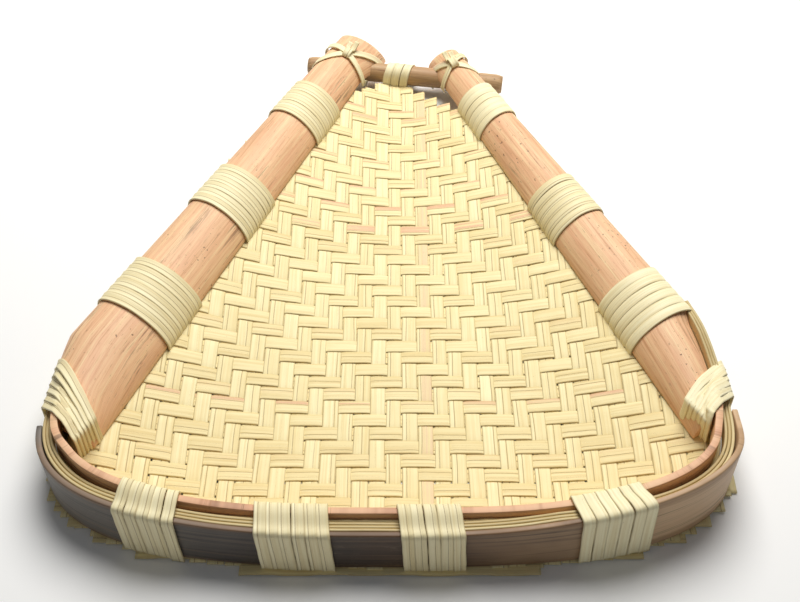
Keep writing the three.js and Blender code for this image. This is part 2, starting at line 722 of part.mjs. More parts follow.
// The cross stick is lashed to the mat's end in the middle.
{
  const radius = STICK.radius + STAND_OFF;
  const middle = stickLeft.clone().lerp(stickRight, STICK_LASHING);
  const start = stickLeft.distanceTo(middle) - STICK_TURNS * TURN_PITCH / 2;
  const loopAt = (s) => {
    const centre = stickLeft.clone().addScaledVector(stickAlong, s);
    const at = (a, b) => centre.clone().addScaledVector(stickAcross, a).addScaledVector(stickUp, b);
    const below = -STICK.radius - STICK_CLEARANCE - MAT_THICKNESS - STAND_OFF;
    const arc = [];
    for (let i = 0; i <= STICK_FACETS / 2; i += 1) {
      const angle = Math.PI * i / (STICK_FACETS / 2);
      arc.push(at(-radius * Math.cos(angle), radius * Math.sin(angle)));
    }
    return [at(-radius, below), ...arc, at(radius, below)];
  };
  addPart('cross_stick_lashing',
    windingSolid(loopAt, () => stickAlong, start, STICK_TURNS, TURN_PITCH), LASHING_COLOUR, 0.6);
  const slot = middle.clone().addScaledVector(stickAcross, -radius);
  slot.z -= STICK.radius;
  matCuts.push(orientedBox(slot, stickAlong, stickAcross,
    [STICK_TURNS * TURN_PITCH + STRIP_WIDTH + 3, STRIP_THICKNESS + 2 * GAP, 16]));
}

// Ties that cross over a rail's far end and pass under the cross stick, with a knot on top.
function tieRibbon(rail, s0, slant) {
  const { along, across } = rail.axes;
  const width = railWidthAt(rail, s0);
  const skew = -across.dot(stickAcross) / along.dot(stickAcross);
  const run = [];
  for (let i = 0; i <= RAIL_FACETS; i += 1) {
    const share = -Math.cos(Math.PI * i / RAIL_FACETS) / 2;
    const s = s0 + share * (width * skew + slant * KNOT.reach);
    const [q, n] = railArc(rail, s, STAND_OFF)[i];
    run.push(railPoint(rail, s, q, n));
  }
  const crossing = railPoint(rail, s0, width / 2, 0);
  const below = stickAt(crossing.x, crossing.y).z - STICK.radius - 2 * STAND_OFF;
  const first = run[0].clone().setZ(below);
  const last = run[RAIL_FACETS].clone().setZ(below);
  const path = [first, ...run, last, last.clone().lerp(first, 0.9)];
  const wide = along.clone().setLength(KNOT.width / 2);
  const sections = path.map((point, i) => {
    const before = path[Math.max(i - 1, 0)];
    const after = path[Math.min(i + 1, path.length - 1)];
    const away = new THREE.Vector3().crossVectors(after.clone().sub(before), wide);
    away.setLength(STRIP_THICKNESS / 2);
    return [
      point.clone().add(wide).add(away), point.clone().sub(wide).add(away),
      point.clone().sub(wide).sub(away), point.clone().add(wide).sub(away),
    ];
  });
  return toManifold(loft(sections));
}

for (const [name, rail] of Object.entries(RAILS)) {
  const { near, along } = rail.axes;
  const middle = railPoint(rail, 0, railWidthAt(rail, rail.axes.length) / 2, 0);
  const s0 = stickLeft.clone().sub(middle).dot(stickAcross) / along.dot(stickAcross);
  const knot = new THREE.SphereGeometry(1, 14, 8);
  knot.scale(KNOT.size[0], KNOT.size[1], KNOT.size[2]);
  const top = railPoint(rail, s0, railWidthAt(rail, s0) / 2,
    railHeightAt(rail, s0) + GAP + KNOT.size[2]);
  knot.translate(top.x, top.y, top.z);
  const tie = tieRibbon(rail, s0, 1).add(tieRibbon(rail, s0, -1)).add(toManifold(knot));
  addPart(`${name}_end_tie`, fromManifold(tie), LASHING_COLOUR, 0.6);
}

// ---------------------------------------------------------------- cut pieces

function cut(geometry, cutters) {
  let solid = toManifold(geometry);
  for (const cutter of cutters) {
    solid = solid.subtract(toManifold(cutter));
  }
  return fromManifold(solid);
}

addPart('woven_mat', cut(matSolid(), matCuts), MAT_COLOUR, 0.7);
addPart('cross_stick', stickSolid(STICK.radius, stickLength), 0xbf9774, 0.6);
for (const [name, rail] of Object.entries(RAILS)) {
  const notch = stickSolid(STICK.radius + GAP, stickLength + 60);
  addPart(`${name}_rail`, cut(railSolid(rail), [notch]), RAIL_COLOUR, 0.55);
}

// The basket is turned to lie on its rest plane, with the frame's origin in the middle of its
// footprint.
parts.rotation.x = -Math.atan(REST.slope);
parts.updateMatrixWorld(true);
const extent = new THREE.Box3().setFromObject(parts, true);
const middle = extent.getCenter(new THREE.Vector3());
parts.position.set(-middle.x, -middle.y, -extent.min.z);

export default parts;
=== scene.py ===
import bisect
import math
import random
from functools import lru_cache

import bmesh
import bpy
from mathutils import Matrix, Vector, noise


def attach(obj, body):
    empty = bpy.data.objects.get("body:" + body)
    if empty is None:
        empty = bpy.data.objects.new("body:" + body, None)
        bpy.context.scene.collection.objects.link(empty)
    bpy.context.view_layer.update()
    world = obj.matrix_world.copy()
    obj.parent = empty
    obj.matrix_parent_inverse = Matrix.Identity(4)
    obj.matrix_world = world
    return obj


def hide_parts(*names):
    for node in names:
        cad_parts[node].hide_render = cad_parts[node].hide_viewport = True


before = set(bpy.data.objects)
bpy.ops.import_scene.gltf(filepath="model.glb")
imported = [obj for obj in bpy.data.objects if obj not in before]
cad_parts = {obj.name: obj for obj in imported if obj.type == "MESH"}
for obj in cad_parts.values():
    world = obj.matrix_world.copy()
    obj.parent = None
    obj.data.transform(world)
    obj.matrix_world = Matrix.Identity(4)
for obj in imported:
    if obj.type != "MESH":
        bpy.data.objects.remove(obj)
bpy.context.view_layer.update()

MM = 0.001
# The shapes below are worked out in millimetres with the hoop's bands upright and its front at
# y = 0.  The basket lies on its mat, which slopes a little against the bands: `place` turns a
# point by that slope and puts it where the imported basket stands.
REST_FRONT = 2.2       # height of the plane it lies on, below the hoop's front
REST_SLOPE = 0.0842
LEVEL = Matrix.Rotation(-math.atan(REST_SLOPE), 3, "X")
SHIFT = Vector((0, -240.548, -2.192))


def place(point):
    return (LEVEL @ point + SHIFT) * MM


def rest_height(y):
    """Height of the plane that the basket lies on."""
    return REST_FRONT + REST_SLOPE * y


# ------------------------------------------------------------------ camera, lights and floor

def set_camera():
    camera = bpy.data.objects.new("camera", bpy.data.cameras.new("camera"))
    bpy.context.collection.objects.link(camera)
    camera.data.lens = 45
    camera.data.sensor_width = 36
    camera.data.clip_start = 0.01
    camera.location = (0.006, -0.5022, 0.5205)
    camera.rotation_euler = (math.radians(41.787), 0, 0)
    bpy.context.scene.camera = camera


def area_light(name, location, target, size, power, colour):
    light = bpy.data.objects.new(name, bpy.data.lights.new(name, "AREA"))
    bpy.context.collection.objects.link(light)
    light.data.shape = "DISK"
    light.data.size = size
    light.data.energy = power
    light.data.color = colour
    light.location = location
    light.rotation_euler = (Vector(target) - Vector(location)).to_track_quat("-Z", "Y").to_euler()


def set_lights():
    area_light("soft_key", (0.12, 0.62, 1.2), (0, -0.02, 0), 1.0, 25, (1, 0.985, 0.95))
    world = bpy.data.worlds.new("studio")
    world.use_nodes = True
    world.node_tree.nodes["Background"].inputs["Color"].default_value = (0.96, 0.98, 1, 1)
    world.node_tree.nodes["Background"].inputs["Strength"].default_value = 0.14
    bpy.context.scene.world = world
    bpy.context.scene.view_settings.view_transform = "Standard"


# ------------------------------------------------------------------ sizes, millimetres

GAP = 0.35             # room between pieces that touch
STRIP_THICKNESS = 1.2
STAND_OFF = GAP + STRIP_THICKNESS / 2
TURN_PITCH = 7.0       # from one turn of a lashing to the next

# The hoop's line on its outer face: half its width, the depth of its round front, how square
# the front is, and how the sides lean in behind it.
HOOP_HALF_WIDTH = 206.5
HOOP_DEPTH = 84
HOOP_POWER = 2.8
HOOP_SIDE_LEAN = 0.0016

# Where each piece of the hoop starts and ends.  A place on the hoop is given by its measure:
# 0 at the front, 1 where the right side runs straight and -1 where the left one does.
BAND_ENDS = (-0.95, 1.0)
FILLER_ENDS = (-1.33, 2.0)
INNER_ENDS = (-1.15, 1.15)

# The outer band.
BAND_THICKNESS = 3.4
BAND_OFF_REST = 2.8
BAND_FRONT_TOP = 36
BAND_LEFT_TOP = 43
BAND_RIGHT_TOP = 52
BAND_END_DROP = 9      # how far its top falls again at its right end
BAND_END_RISE = 9      # how far its bottom rises at both ends
BAND_SPREAD = 1.3      # how far its ends stand out round the corner lashings

# The fillers and the inner band, and where they lie once a corner lashing draws them together.
FILLER_THICKNESS = 1.7
FILLER_COUNT = 3
FILLER_HEIGHT = 9
FILLER_HIGHEST = 41
FILLER_BELOW_BAND = 0.4
FILLER_CORNER_RISE = 3
FILLER_END_RISE = 10
CORNER_GAP = 0.8       # room that opens behind the outer band near a corner
INNER_THICKNESS = 4.2
INNER_FRONT_TOP = 39.5
INNER_END_TOP = 50
INNER_TALLEST = 34
INNER_ABOVE_MAT = 6
PINCHED_INSET = 2.4
PINCHED_PITCH = 1.8
PINCHED_INNER_INSET = 8.0

# The mat.
MAT_THICKNESS = 2.0
MAT_RIM_HEIGHT = 4.6   # its middle where it meets the hoop, off the plane the basket lies on
MAT_RIM_SLOPE = 0.25
SIDE_TILT = 0.38       # its slope, across, under the rails
SPLINT_PITCH = 10

# The cross stick and the laths.
STICK_RADIUS = 8
STICK_LEFT = Vector((-72, 456.9, 56.4))
STICK_RIGHT = Vector((92, 433, 52.2))
STICK_CLEARANCE = 1.9  # between the stick and the mat that passes under it
LATH_WIDTH = 22
LATH_THICKNESS = 4


def lerp(a, b, share):
    return a + (b - a) * share


def smoothstep(value, low, high):
    share = min(max((value - low) / (high - low), 0), 1)
    return share * share * (3 - 2 * share)


def smooth_max(a, b, radius):
    near = max(radius - abs(a - b), 0) / radius
    return max(a, b) + near * near * radius / 4


def smooth_min(a, b, radius):
    return -smooth_max(-a, -b, radius)


# ------------------------------------------------------------------ the hoop's line

def hoop_half_width(y):
    beyond = max(y - HOOP_DEPTH, 0)
    return HOOP_HALF_WIDTH - HOOP_SIDE_LEAN * beyond * beyond


def front_point(angle):
    across = math.sin(angle) / HOOP_HALF_WIDTH
    ahead = math.cos(angle) / HOOP_DEPTH
    reach = (across ** HOOP_POWER + ahead ** HOOP_POWER) ** (-1 / HOOP_POWER)
    return Vector((reach * math.sin(angle), HOOP_DEPTH - reach * math.cos(angle), 0))


FRONT_STEPS = 600
FRONT_ANGLES = [math.pi / 2 * k / FRONT_STEPS for k in range(FRONT_STEPS)] + [math.pi / 2 - 1e-9]
FRONT_LENGTHS = [0.0]
for before, after in zip(FRONT_ANGLES, FRONT_ANGLES[1:]):
    FRONT_LENGTHS.append(FRONT_LENGTHS[-1] + (front_point(after) - front_point(before)).length)
FRONT_LENGTH = FRONT_LENGTHS[-1]


def hoop_point(t):
    """The hoop's outer face: t is 0 at the front and 1 at the end of the round front."""
    if abs(t) >= 1:
        y = HOOP_DEPTH * abs(t)
        return Vector((math.copysign(hoop_half_width(y), t), y, 0))
    goal = abs(t) * FRONT_LENGTH
    after = max(bisect.bisect_left(FRONT_LENGTHS, goal), 1)
    share = (goal - FRONT_LENGTHS[after - 1]) / (FRONT_LENGTHS[after] - FRONT_LENGTHS[after - 1])
    point = front_point(lerp(FRONT_ANGLES[after - 1], FRONT_ANGLES[after], share))
    return Vector((math.copysign(point.x, t), point.y, 0))


def hoop_tangent(t):
    return (hoop_point(t + 0.004) - hoop_point(t - 0.004)).normalized()


def hoop_inset(t, inset, z):
    tangent = hoop_tangent(t)
    point = hoop_point(t) + Vector((-tangent.y, tangent.x, 0)) * inset
    return Vector((point.x, point.y, z))


def inside_distance(x, y):
    """How far inside the hoop's outer face a point lies."""
    if y >= HOOP_DEPTH:
        return hoop_half_width(y) - abs(x)
    u = abs(x) / HOOP_HALF_WIDTH
    v = (HOOP_DEPTH - y) / HOOP_DEPTH
    level = (u ** HOOP_POWER + v ** HOOP_POWER) ** (1 / HOOP_POWER)
    slope = math.hypot(u ** (HOOP_POWER - 1) / HOOP_HALF_WIDTH, v ** (HOOP_POWER - 1) / HOOP_DEPTH)
    return (1 - level) / max(slope * level ** (1 - HOOP_POWER), 1e-6)


def band_top(t):
    end = BAND_LEFT_TOP if t < 0 else BAND_RIGHT_TOP
    top = lerp(BAND_FRONT_TOP, end, smoothstep(abs(t), 0.1, 0.85))
    return top - BAND_END_DROP * smoothstep(t, 0.8, 1.0)


def band_bottom(t):
    rise = BAND_END_RISE * smoothstep(abs(t), 0.8, 1.05)
    return rest_height(hoop_point(t).y) + BAND_OFF_REST + rise


def pinched(t):
    """How far the corner lashing has drawn the hoop's splints together."""
    return smoothstep(-t, 0.8, 1.0) if t < 0 else smoothstep(t, 0.9, 1.1)


def filler_inset(number, t):
    gap = CORNER_GAP * smoothstep(abs(t), 0.66, 0.92)
    loose = BAND_THICKNESS + GAP + gap + number * (FILLER_THICKNESS + GAP)
    return lerp(loose, PINCHED_INSET + PINCHED_PITCH * number, pinched(t))


def wall_inset(t):
    return filler_inset(FILLER_COUNT, t) + MAT_THICKNESS / 2


def inner_inset(t):
    return lerp(wall_inset(t) + MAT_THICKNESS / 2 + GAP, PINCHED_INNER_INSET, pinched(t))


def hoop_thickness(t):
    return inner_inset(t) + INNER_THICKNESS


def inner_top(t):
    return lerp(INNER_FRONT_TOP, INNER_END_TOP, smoothstep(abs(t), 0.25, 0.95))


def filler_top(t):
    top = min(band_top(t), FILLER_HIGHEST) - FILLER_BELOW_BAND
    corner = FILLER_CORNER_RISE * smoothstep(abs(t), 0.5, 1)
    return top + corner + FILLER_END_RISE * smoothstep(abs(t), 1.1, 1.8)


# ------------------------------------------------------------------ the rails' lines

RAIL_END_HEIGHT = 0.72     # a rail's ends are eased down to this share of its height
RAIL_END_ROUND = 5         # over this length
RAIL_FREE_FROM = 190       # from here on a rail is clear of the hoop and keeps its full width
RAIL_INSET_AHEAD = 12.2    # its outer edge's place inside the hoop, at its near end
RAIL_INSET_LAST = 1        # and where it leaves the hoop's splints
FLARE_LENGTH = 42          # a rail's far end flares inwards over this length
FLARE_SHORT = 6            # and is fully flared this far before its tip


class Rail:
    """A side rail: s runs along it, q out across its underside and n up off it."""

    def __init__(self, side, near, far, width, height, lashings, beside, flare, corner, tie):
        self.side, self.width, self.height = side, width, height
        self.lashings, self.beside, self.flare = lashings, beside, flare
        self.corner, self.tie = corner, tie
        self.near, self.far = Vector(near), Vector(far)
        self.length = (self.far - self.near).length
        self.along = (self.far - self.near).normalized()
        level = Vector((self.along.y, -self.along.x, 0)) * side
        across = Vector((*level.normalized().xy, SIDE_TILT))
        self.across = (across - self.along * across.dot(self.along)).normalized()
        self.up = self.across.cross(self.along) * side

    def point(self, s, q, n):
        return self.near + self.along * s + self.across * q + self.up * n

    def outward(self, x, y):
        """How far out a point lies from the rail's inner edge, measured level."""
        level = self.across.xy
        return level.dot(Vector((x, y)) - self.near.xy) / level.length

    def plane_height(self, x, y):
        origin = self.point(0, 0, -GAP - MAT_THICKNESS / 2)
        rise = self.up.x * (x - origin.x) + self.up.y * (y - origin.y)
        return origin.z - rise / self.up.z

    def s_at(self, y):
        return self.length * (y - self.near.y) / (self.far.y - self.near.y)

    @lru_cache(maxsize=None)
    def across_to_inset(self, s, inset):
        low, high = 0, 2 * self.width[0]
        for _ in range(24):
            middle = (low + high) / 2
            p = self.point(s, middle, 0)
            if inside_distance(p.x, p.y) > inset:
                low = middle
            else:
                high = middle
        return low

    def width_at(self, s):
        """The width is trimmed at the near end to lie inside the hoop's splints."""
        full = lerp(*self.width, s / self.length)
        y = self.point(s, full, 0).y
        if y > RAIL_FREE_FROM:
            return full
        inset = lerp(RAIL_INSET_AHEAD, self.beside, smoothstep(y, 88, 112))
        inset = lerp(inset, RAIL_INSET_LAST, smoothstep(y, 150, 172))
        return min(full, self.across_to_inset(round(s, 3), round(inset, 3)))

    def height_at(self, s):
        full = lerp(*self.height, s / self.length)
        from_end = min(s, self.length - s)
        return full * lerp(RAIL_END_HEIGHT, 1, smoothstep(from_end, 0, RAIL_END_ROUND))

    def flare_at(self, s):
        return self.flare * smoothstep(s, self.length - FLARE_LENGTH, self.length - FLARE_SHORT)

    def arc(self, s, offset, facets):
        """The round top seen along the rail, set off outwards: pairs of q and n."""
        width, height = self.width_at(s), self.height_at(s)
        pairs = []
        for i in range(facets + 1):
            angle = math.pi * i / facets
            q = width / 2 - (width / 2 + offset) * math.cos(angle)
            n = (height + offset) * math.sin(angle)
            pairs.append((q + self.lean(q, n, width), n))
        return pairs

    def lean(self, q, n, width):
        """How far out a point moves so that the rail's inner side stands upright."""
        return SIDE_TILT * max(n, 0) * min(max(1 - q / width, 0), 1)


# A corner's fan of strips, from its nearest turn to its farthest: where it leaves the rail's
# inner edge (s, q) and where it folds over the hoop (the hoop's measure).  A tie's two strips
# are given by where they meet the rail's inner and outer edges.
RAILS = {
    "left": Rail(-1, (-175, 66, 28), (-12, 466, 59), (57, 37), (14, 12), (0.198, 0.445, 0.712),
                 beside=1.0, flare=7, corner=((-7, 3), (9, -1.4), 1.0, 1.40),
                 tie=((423, 384), (394, 410))),
    "right": Rail(1, (181, 73, 28), (31, 453, 57.8), (51, 27), (13, 10), (0.18, 0.44, 0.75),
                  beside=8.2, flare=1, corner=((-3, 5), (18, -1.4), 1.12, 1.40),
                  tie=((399, 372), (377, 396))),
}
STICK_ALONG = (STICK_RIGHT - STICK_LEFT).normalized()
STICK_LENGTH = (STICK_RIGHT - STICK_LEFT).length
STICK_ACROSS = Vector((-STICK_ALONG.y, STICK_ALONG.x, 0)).normalized()
STICK_UP = STICK_ALONG.cross(STICK_ACROSS)


def stick_at(x, y):
    """Height of the stick's axis beside a point, and how far beyond the axis the point lies."""
    away = Vector((x, y, 0)) - Vector((*STICK_LEFT.xy, 0))
    share = away.dot(STICK_ALONG) / STICK_LENGTH
    return lerp(STICK_LEFT.z, STICK_RIGHT.z, share), away.dot(STICK_ACROSS)


# How softly the mat bends: between its two sides, at the hoop, at the foot of the sides and
# at the cross stick; then the slopes with which it rises to the stick and dips under it.
SIDES_BLEND = 10
RIM_BLEND = 3
FOOT_BLEND = 16
STICK_BLEND = 4
STICK_RISE = 0.2
STICK_DIP = 1.1


def mat_height(x, y):
    """Height of the middle of the mat."""
    rest = rest_height(y)
    sides = smooth_max(*(rail.plane_height(x, y) for rail in RAILS.values()), SIDES_BLEND)
    rim = (rest + MAT_RIM_HEIGHT - MAT_RIM_SLOPE * (inside_distance(x, y) - wall_inset(0))
           - max(y - HOOP_DEPTH, 0))
    floor = smooth_max(rest + MAT_THICKNESS / 2, rim, RIM_BLEND)
    dish = smooth_max(floor, sides, FOOT_BLEND)
    stick, beyond = stick_at(x, y)
    under = stick - STICK_RADIUS - STICK_CLEARANCE - MAT_THICKNESS / 2
    dish = smooth_max(dish, under - STICK_RISE * max(-beyond - 4, 0), STICK_BLEND)
    dip = under + STICK_DIP * max(-beyond - STICK_RADIUS + 4, 0)
    return smooth_min(dish, dip, STICK_BLEND)


# ------------------------------------------------------------------ materials

class Value:
    """A socket of a material's nodes, so that sums of sockets can be written as sums."""

    def __init__(self, paint, socket):
        self.paint, self.socket = paint, socket

    def __add__(self, other):
        return self.paint.maths("ADD", self, other)

    def __sub__(self, other):
        return self.paint.maths("SUBTRACT", self, other)

    def __rsub__(self, other):
        return self.paint.maths("SUBTRACT", other, self)

    def __mul__(self, other):
        return self.paint.maths("MULTIPLY", self, other)

    __radd__ = __add__
    __rmul__ = __mul__


def linear(red, green, blue):
    """A colour given from 0 to 255 as the eye sees it, for a colour socket."""
    def channel(c):
        c /= 255
        return c / 12.92 if c <= 0.04045 else ((c + 0.055) / 1.055) ** 2.4
    return channel(red), channel(green), channel(blue), 1


class Paint:
    """A material with one Principled shader, written as expressions on its nodes."""

    def __init__(self, name, **constants):
        self.material = bpy.data.materials.new(name)
        self.material.use_nodes = True
        self.tree = self.material.node_tree
        self.shader = self.tree.nodes["Principled BSDF"]
        for socket, value in constants.items():
            self.shader.inputs[socket.replace("_", " ")].default_value = value

    def node(self, kind, settings=None, sockets=None, output=0):
        made = self.tree.nodes.new("ShaderNode" + kind)
        for key, value in (settings or {}).items():
            if key == "stops":
                elements = made.color_ramp.elements
                while len(elements) < len(value):
                    elements.new(0)
                for element, (position, colour) in zip(elements, value):
                    element.position, element.color = position, colour
            else:
                setattr(made, key, value)
        for key, value in (sockets or {}).items():
            if isinstance(value, Value):
                self.tree.links.new(value.socket, made.inputs[key])
            else:
                made.inputs[key].default_value = value
        return Value(self, made.outputs[output])

    def maths(self, operation, *values):
        return self.node("Math", {"operation": operation}, dict(enumerate(values)))

    def feed(self, socket, value):
        self.tree.links.new(value.socket, self.shader.inputs[socket])

    def grain(self):
        """The piece's own measure: along its fibres, across them, and the splint's number."""
        vector = self.node("Attribute", {"attribute_name": "grain"}, output="Vector")
        return [self.node("SeparateXYZ", None, {0: vector}, axis) for axis in range(3)]

    def vector(self, x, y, z):
        return self.node("CombineXYZ", None, {0: x, 1: y, 2: z})

    def noise(self, x, y, z, detail=3, roughness=0.55):
        return self.node("TexNoise", None, {"Vector": self.vector(x, y, z), "Scale": 1.0,
                                            "Detail": detail, "Roughness": roughness})

    def chance(self, number):
        """An even random number from 0 to 1 for each splint."""
        return self.node("TexWhiteNoise", {"noise_dimensions": "1D"}, {"W": number})

    def step(self, value, low, high, to_low=0.0, to_high=1.0):
        return self.node("MapRange", {"interpolation_type": "SMOOTHSTEP"}, {
            "Value": value, "From Min": low, "From Max": high, "To Min": to_low, "To Max": to_high})

    def mix(self, share, colour_a, colour_b, blend="MIX"):
        return self.node("Mix", {"data_type": "RGBA", "blend_type": blend},
                         {0: share, 6: colour_a, 7: colour_b}, 2)

    def bump(self, height, strength, distance):
        self.feed("Normal", self.node("Bump", None, {
            "Height": height, "Strength": strength, "Distance": distance}))


def splint_paint(name, pale, deep, stripe, stripe_share, edge, half_width, split_share):
    """Shaved bamboo splint: long fibres, a split line, and a flushed stripe on some splints."""
    paint = Paint(name, Specular_IOR_Level=0.35)
    along, across, number = paint.grain()
    tone = paint.chance(number)
    split_place = paint.chance(number + 31.7) - 0.5
    has_split = paint.step(paint.chance(number + 57.3), 1 - split_share, 1.01 - split_share)
    has_stripe = paint.step(paint.chance(number + 83.1), 1 - stripe_share, 1.01 - stripe_share)
    fibre = paint.noise(along * 30, across * 2600, number * 3.1, 4, 0.6)
    vein = paint.noise(along * 14, across * 700, number * 5.7, 3, 0.5)
    cloud = paint.noise(along * 60, across * 160, number * 1.9, 3, 0.6)
    wander = paint.noise(along * 22, 0, number * 2.3, 2) - 0.5
    from_split = across - split_place * half_width * 1.1 - wander * 0.0016
    distance = paint.maths("ABSOLUTE", from_split)
    line = paint.step(distance, 0.0001, 0.0004, 1.0, 0.0) * has_split
    beside = paint.step(from_split, -0.0002, 0.0002) * has_split
    colour = paint.mix(paint.step(vein, 0.36, 0.7) * 0.55 + tone * 0.28, pale, deep)
    colour = paint.mix(paint.step(fibre, 0.5, 0.78) * 0.5, colour, deep)
    colour = paint.mix(beside * 0.3 + paint.step(cloud, 0.55, 0.85) * 0.25, colour, deep)
    flush = paint.noise(along * 9, across * 420, number * 7.7, 2)
    flushed = has_stripe * paint.step(from_split, 0.0001, 0.0009) * paint.step(flush, 0.35, 0.6)
    colour = paint.mix(flushed * 0.85, colour, stripe)
    rim = paint.step(paint.maths("ABSOLUTE", across), half_width * 0.8, half_width * 1.0)
    colour = paint.mix(rim * 0.3 + line * 0.6, colour, edge)
    speck = paint.noise(along * 420, across * 900, number * 9.1, 2, 0.5)
    colour = paint.mix(paint.step(speck, 0.745, 0.8) * 0.6, colour, edge)
    paint.feed("Base Color", colour)
    paint.feed("Roughness", 0.44 + fibre * 0.22 + line * 0.2)
    paint.bump(fibre * 0.6 + vein * 0.5 - line * 1.4, 0.5, 0.0003)
    return paint.material


def culm_paint(name, base, pale, brown, dark, ruddy, mouldy=1.0):
    """The scraped outside of a split culm: long streaks, a few dark pores and mould specks."""
    paint = Paint(name, Specular_IOR_Level=0.35)
    along, across, number = paint.grain()
    streak = paint.noise(along * 9, across * 380, number * 3.1, 6, 0.68)
    fine = paint.noise(along * 34, across * 2300, number * 4.7, 4, 0.65)
    broad = paint.noise(along * 8, across * 95, number * 6.3, 4, 0.6)
    ruddy_part = paint.noise(along * 16, across * 130, number * 9.9, 4, 0.6)
    colour = paint.mix(paint.step(streak, 0.46, 0.68) * 0.75, base, pale)
    colour = paint.mix(paint.step(ruddy_part, 0.46, 0.66) * 0.4, colour, ruddy)
    colour = paint.mix(paint.step(streak, 0.3, 0.46, 1.0, 0.0) * 0.7, colour, brown)
    colour = paint.mix(paint.step(broad, 0.54, 0.72) * 0.3, colour, brown)
    colour = paint.mix(paint.step(fine, 0.5, 0.72) * 0.65, colour, brown)
    pore = paint.noise(along * 150, across * 1900, number * 2.9, 2, 0.5)
    pore_mask = paint.step(pore, 0.66, 0.74)
    smear = paint.noise(along * 20, across * 520, number * 5.9, 4, 0.7)
    smear_place = paint.noise(along * 13, across * 55, number * 7.3, 2, 0.5)
    smear_mask = paint.step(smear, 0.5, 0.64) * paint.step(smear_place, 0.52, 0.64)
    mould = paint.noise(along * 300, across * 380, number * 8.3, 3, 0.6)
    mould_place = paint.noise(along * 16, across * 45, number * 1.7, 2, 0.5)
    mould_mask = paint.step(mould, 0.64, 0.69) * paint.step(mould_place, 0.5, 0.6) * mouldy
    colour = paint.mix(pore_mask * 0.5, colour, dark)
    colour = paint.mix(smear_mask * 0.6, colour, dark)
    colour = paint.mix(mould_mask * 0.75, colour, dark)
    paint.feed("Base Color", colour)
    paint.feed("Roughness", 0.4 + streak * 0.2 + pore_mask * 0.2)
    paint.bump(fine * 0.6 + streak * 0.7 - pore_mask - mould_mask * 0.5, 0.45, 0.0005)
    return paint.material


def outer_band_paint():
    """Dark skin of the outer band, charcoal at the left, brown ahead and tan at the right."""
    paint = Paint("outer_band_skin", Specular_IOR_Level=0.45)
    along, across, number = paint.grain()
    place_x = paint.node("SeparateXYZ", None, {
        0: paint.node("TexCoord", output="Object")}, 0)
    drift = paint.noise(along * 16, across * 30, number, 3) - 0.5
    share = paint.step(place_x + drift * 0.09, -0.205, 0.205)
    skin = paint.node("ValToRGB", {"stops": [
        (0.0, linear(118, 112, 104)), (0.22, linear(80, 73, 68)), (0.42, linear(70, 57, 46)),
        (0.6, linear(88, 66, 48)), (0.76, linear(140, 112, 84)), (0.95, linear(205, 172, 134))]},
        {"Fac": share})
    streak = paint.noise(along * 8, across * 420, number, 5, 0.62)
    fine = paint.noise(along * 30, across * 2400, number + 4, 4, 0.6)
    scuff = paint.noise(along * 70, across * 260, number + 9, 4, 0.65)
    colour = paint.mix(paint.step(streak, 0.5, 0.76) * 0.5, skin, linear(150, 122, 92))
    colour = paint.mix(paint.step(streak, 0.3, 0.5, 1.0, 0.0) * 0.7, colour, linear(40, 32, 27))
    colour = paint.mix(paint.step(scuff, 0.6, 0.8) * 0.45, colour, linear(178, 160, 132))
    edge = paint.step(paint.maths("ABSOLUTE", across), 0.0135, 0.0165)
    colour = paint.mix(edge * 0.45, colour, linear(150, 112, 76))
    paint.feed("Base Color", colour)
    paint.feed("Roughness", 0.38 + fine * 0.25)
    paint.bump(fine * 0.5 + streak * 0.8, 0.4, 0.0004)
    return paint.material


def floor_paint():
    paint = Paint("pale_floor", Roughness=0.9, Specular_IOR_Level=0.1)
    where = paint.node("TexCoord", output="Object")
    mottle = paint.node("TexNoise", None, {"Vector": where, "Scale": 3.0, "Detail": 2.0})
    paint.feed("Base Color", paint.mix(mottle * 0.3, (0.93, 0.93, 0.93, 1), (0.9, 0.9, 0.9, 1)))
    return paint.material


# ------------------------------------------------------------------ sheets and pieces

def new_mesh():
    bm = bmesh.new()
    bm.verts.layers.float_vector.new("grain")
    return bm


def bent_sheet(bm, rows, number):
    """A flat grid bent through rows of points, carrying its own measure along and across.

    The number tells its grain from every other sheet's.
    """
    grain = bm.verts.layers.float_vector["grain"]
    rows = [[place(p) for p in row] for row in rows]
    long, wide = len(rows) - 1, len(rows[0]) - 1
    middle = len(rows[0]) // 2
    lengths = [0.0]
    for before, after in zip(rows, rows[1:]):
        lengths.append(lengths[-1] + (after[middle] - before[middle]).length)
    made = bmesh.ops.create_grid(bm, x_segments=long, y_segments=wide, size=0.5)["verts"]
    for vert in made:
        i = round((vert.co.x + 0.5) * long)
        j = round((vert.co.y + 0.5) * wide)
        row = rows[i]
        across = sum((row[k + 1] - row[k]).length for k in range(j))
        whole = sum((row[k + 1] - row[k]).length for k in range(wide))
        vert.co = row[j]
        vert[grain] = (lengths[i], across - whole / 2, number)
    return made


def closed_loft(bm, rows, number):
    """A sheet whose long edges meet: the seam is merged and the two ends are filled."""
    made = bent_sheet(bm, [row + row[:1] for row in rows], number)
    bmesh.ops.remove_doubles(bm, verts=made, dist=1e-6)
    open_edges = [edge for edge in bm.edges if edge.is_boundary]
    bmesh.ops.holes_fill(bm, edges=open_edges, sides=0)
    bmesh.ops.recalc_face_normals(bm, faces=bm.faces)


